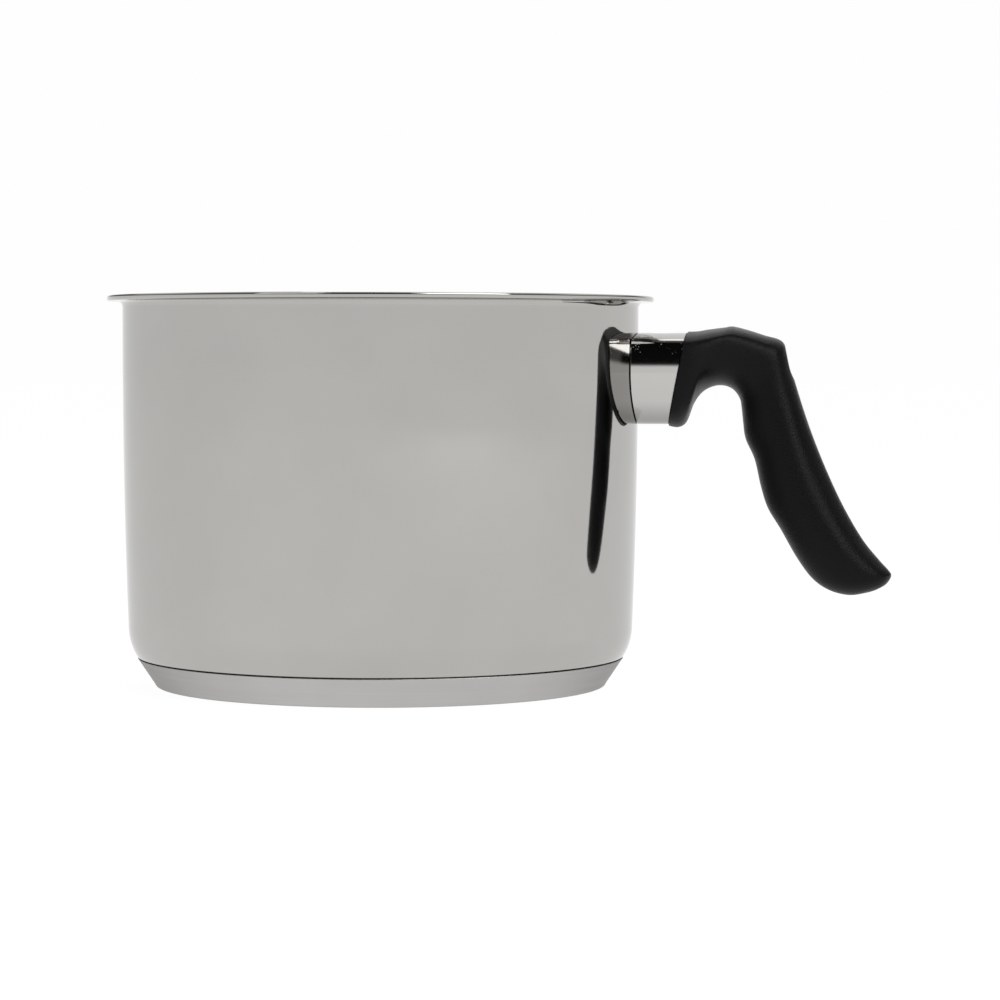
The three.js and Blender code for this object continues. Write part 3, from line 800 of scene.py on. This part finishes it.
# Pieces with a finer surface of their own, each with the CAD node it replaces.
made = [
    (make_inner_bowl(), "inner_bowl", "polished_steel", steel),
    (make_outer_shell(), "outer_shell", "polished_steel", steel),
    (make_base_cap(), "base_cap", "satin_steel", satin()),
    (make_ferrule(), "handle_ferrule", "polished_steel", ferrule_steel),
    (make_grip(), "handle_grip", "black_phenolic", phenolic()),
    (make_screw(), "handle_screw", "fixing_steel", fixings),
]
for piece, node, slot, material in made:
    piece.data.materials.clear()
    piece.data.materials.append(material)
    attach(piece, "root")
    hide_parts(node)

# Pieces that stay as the CAD has them and only get a material.
kept = [
    ("heat_spreader", "core_aluminium", rolled_aluminium()),
    ("ferrule_end_plate", "fixing_steel", fixings),
    ("lock_washer", "fixing_steel", fixings),
]
for node, slot, material in kept:
    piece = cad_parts[node]
    piece.data.materials.clear()
    piece.data.materials.append(material)

# ---------------------------------------------------------------- floor, backdrop, light and camera
FLOOR_REACH = 9000
FLOOR_DROP = 0.2
DOME_RADIUS = 8800
STAGE_FACETS = 96


def glowing_paper(name, base, glow):
    """Matt paper that shines by itself, so that shadows and light patches hardly show on it."""
    paper = Shader(name)
    paper.set(Base_Color=(base, base, base, 1.0), Roughness=0.9, Specular_IOR_Level=0.0)
    paper.set(Emission_Color=(1.0, 1.0, 1.0, 1.0), Emission_Strength=glow)
    return paper.material


floor_turns = np.linspace(0, 2 * math.pi, STAGE_FACETS, endpoint=False)
floor_ring = [(FLOOR_REACH * math.cos(a), FLOOR_REACH * math.sin(a), -FLOOR_DROP) for a in floor_turns]
floor = add_object("floor", floor_ring, [list(range(STAGE_FACETS))])
floor.data.materials.append(glowing_paper("floor_paper", 0.1, 0.945))

# A plain white dome behind everything, seen by the camera only.
dome = turned("backdrop", arc(0, -1, DOME_RADIUS, DOME_RADIUS, 0, 90, 24), STAGE_FACETS)
dome.data.materials.append(glowing_paper("backdrop_paper", 0.0, 0.99))
for seen_by in ("diffuse", "glossy", "transmission", "volume_scatter", "shadow"):
    setattr(dome, "visible_" + seen_by, False)

# Bright along the horizon and behind the pot, dim overhead, with the studio's unlit part in front of it.
# Angles are in degrees: off_centre is the turn away from the -Y side, and elevation the height angle.
OVERHEAD_RADIANCE = 0.16
UNLIT_SHARE = 0.03
HORIZON_RADIANCE = 0.98
HORIZON_EDGE = (1.8, 5.2)
BEHIND_LOW = (148, 164)
BEHIND_HIGH = (85, 115)
BEHIND_HIGH_FROM = (22, 29)
UNLIT_TOP_IN_FRONT = 24
UNLIT_TOP_AT_SIDE = 8
UNLIT_SIDE = 38
UNLIT_END = (36, 44)
UNLIT_BLUR = 3

world = bpy.data.worlds.new("studio")
bpy.context.scene.world = world
world.use_nodes = True
sky = NodeTree(world.node_tree)


def fade(value, span, at_start=0.0, at_end=1.0):
    """A smooth change while an angle goes over a span in degrees."""
    start, end = (math.radians(angle) for angle in span)
    return sky.ranged(value, start, end, at_start, at_end, True)


x, y, z = sky.split(sky.node("ShaderNodeTexCoord").outputs["Generated"])
elevation = sky.math("ARCSINE", z)
off_centre = sky.math("ABSOLUTE", sky.math("ARCTAN2", x, sky.math("MULTIPLY", y, -1.0)))
above_horizon = fade(elevation, HORIZON_EDGE)
high_behind = sky.math("MULTIPLY", fade(off_centre, BEHIND_HIGH), fade(elevation, BEHIND_HIGH_FROM))
behind = sky.math("MAXIMUM", fade(off_centre, BEHIND_LOW), high_behind)
dimming = sky.math("MULTIPLY", sky.math("SUBTRACT", 1.0, behind), above_horizon)
surround = sky.ranged(dimming, 0.0, 1.0, HORIZON_RADIANCE, OVERHEAD_RADIANCE, True)
unlit_low, unlit_high = math.radians(UNLIT_TOP_AT_SIDE), math.radians(UNLIT_TOP_IN_FRONT)
unlit_top = fade(off_centre, (0, UNLIT_SIDE), unlit_high, unlit_low)
over_unlit = sky.math("SUBTRACT", elevation, unlit_top)
unlit = sky.math("MULTIPLY", above_horizon, fade(over_unlit, (-UNLIT_BLUR, UNLIT_BLUR), 1.0, 0.0))
unlit = sky.math("MULTIPLY", unlit, fade(off_centre, UNLIT_END, 1.0, 0.0))
strength = sky.math("MULTIPLY", surround, sky.ranged(unlit, 0.0, 1.0, 1.0, UNLIT_SHARE, True))
background = world.node_tree.nodes["Background"]
sky.give(background.inputs["Color"], (1.0, 1.0, 1.0, 1.0))
sky.give(background.inputs["Strength"], strength)

LIGHT_TARGET = Vector((0.02, 0, 0.07))


def softbox(name, azimuth, height_angle, distance, width_m, height_m, radiance):
    """A rectangular soft light that faces the pot. Azimuth 0 is the -Y side and 90 the +X side."""
    light = bpy.data.lights.new(name, "AREA")
    light.shape = "RECTANGLE"
    light.size, light.size_y = width_m, height_m
    light.energy = radiance * math.pi * width_m * height_m
    lamp = bpy.data.objects.new(name, light)
    bpy.context.scene.collection.objects.link(lamp)
    a, e = math.radians(azimuth), math.radians(height_angle)
    back = Vector((math.sin(a) * math.cos(e), -math.cos(a) * math.cos(e), math.sin(e)))
    lamp.location = LIGHT_TARGET + back * distance
    lamp.rotation_mode = "QUATERNION"
    lamp.rotation_quaternion = (-back).to_track_quat("-Z", "Y")
    lamp.visible_camera = False


softbox("soft_right", azimuth=43, height_angle=27, distance=1.8, width_m=1.15, height_m=1.1, radiance=3.9)
softbox("soft_left", azimuth=-34, height_angle=35, distance=1.8, width_m=0.8, height_m=0.6, radiance=3.0)
softbox("soft_top", azimuth=170, height_angle=74, distance=1.7, width_m=1.1, height_m=0.8, radiance=2.2)

# The camera stands a little below the rim's height, turned towards the handle's side.
CAMERA_DISTANCE = 0.99263
CAMERA_HEIGHT = 0.10333
TURN = math.radians(7.5)
YAW = math.radians(2.135)
PITCH = math.radians(2.657)
ROLL = math.radians(0.11)
FOCAL = 3.19056  # focal length, in image widths
SENSOR_WIDTH = 36
camera_data = bpy.data.cameras.new("camera")
camera = bpy.data.objects.new("camera", camera_data)
bpy.context.scene.collection.objects.link(camera)
camera_data.sensor_width = SENSOR_WIDTH
camera_data.lens = SENSOR_WIDTH * FOCAL
camera_data.clip_start = 0.01
camera_data.clip_end = 40
ahead_flat = Vector((math.sin(YAW - TURN), math.cos(YAW - TURN), 0))
right = Vector((math.cos(YAW - TURN), -math.sin(YAW - TURN), 0))
ahead = ahead_flat * math.cos(PITCH) + Vector((0, 0, -math.sin(PITCH)))
up = right.cross(ahead)
turned_right = right * math.cos(ROLL) + up * math.sin(ROLL)
turned_up = up * math.cos(ROLL) - right * math.sin(ROLL)
axes = Matrix((turned_right, turned_up, -ahead)).transposed().to_4x4()
stand = Vector((CAMERA_DISTANCE * math.sin(TURN), -CAMERA_DISTANCE * math.cos(TURN), CAMERA_HEIGHT))
camera.matrix_world = Matrix.Translation(stand) @ axes
bpy.context.scene.camera = camera
bpy.context.scene.view_settings.view_transform = "Standard"
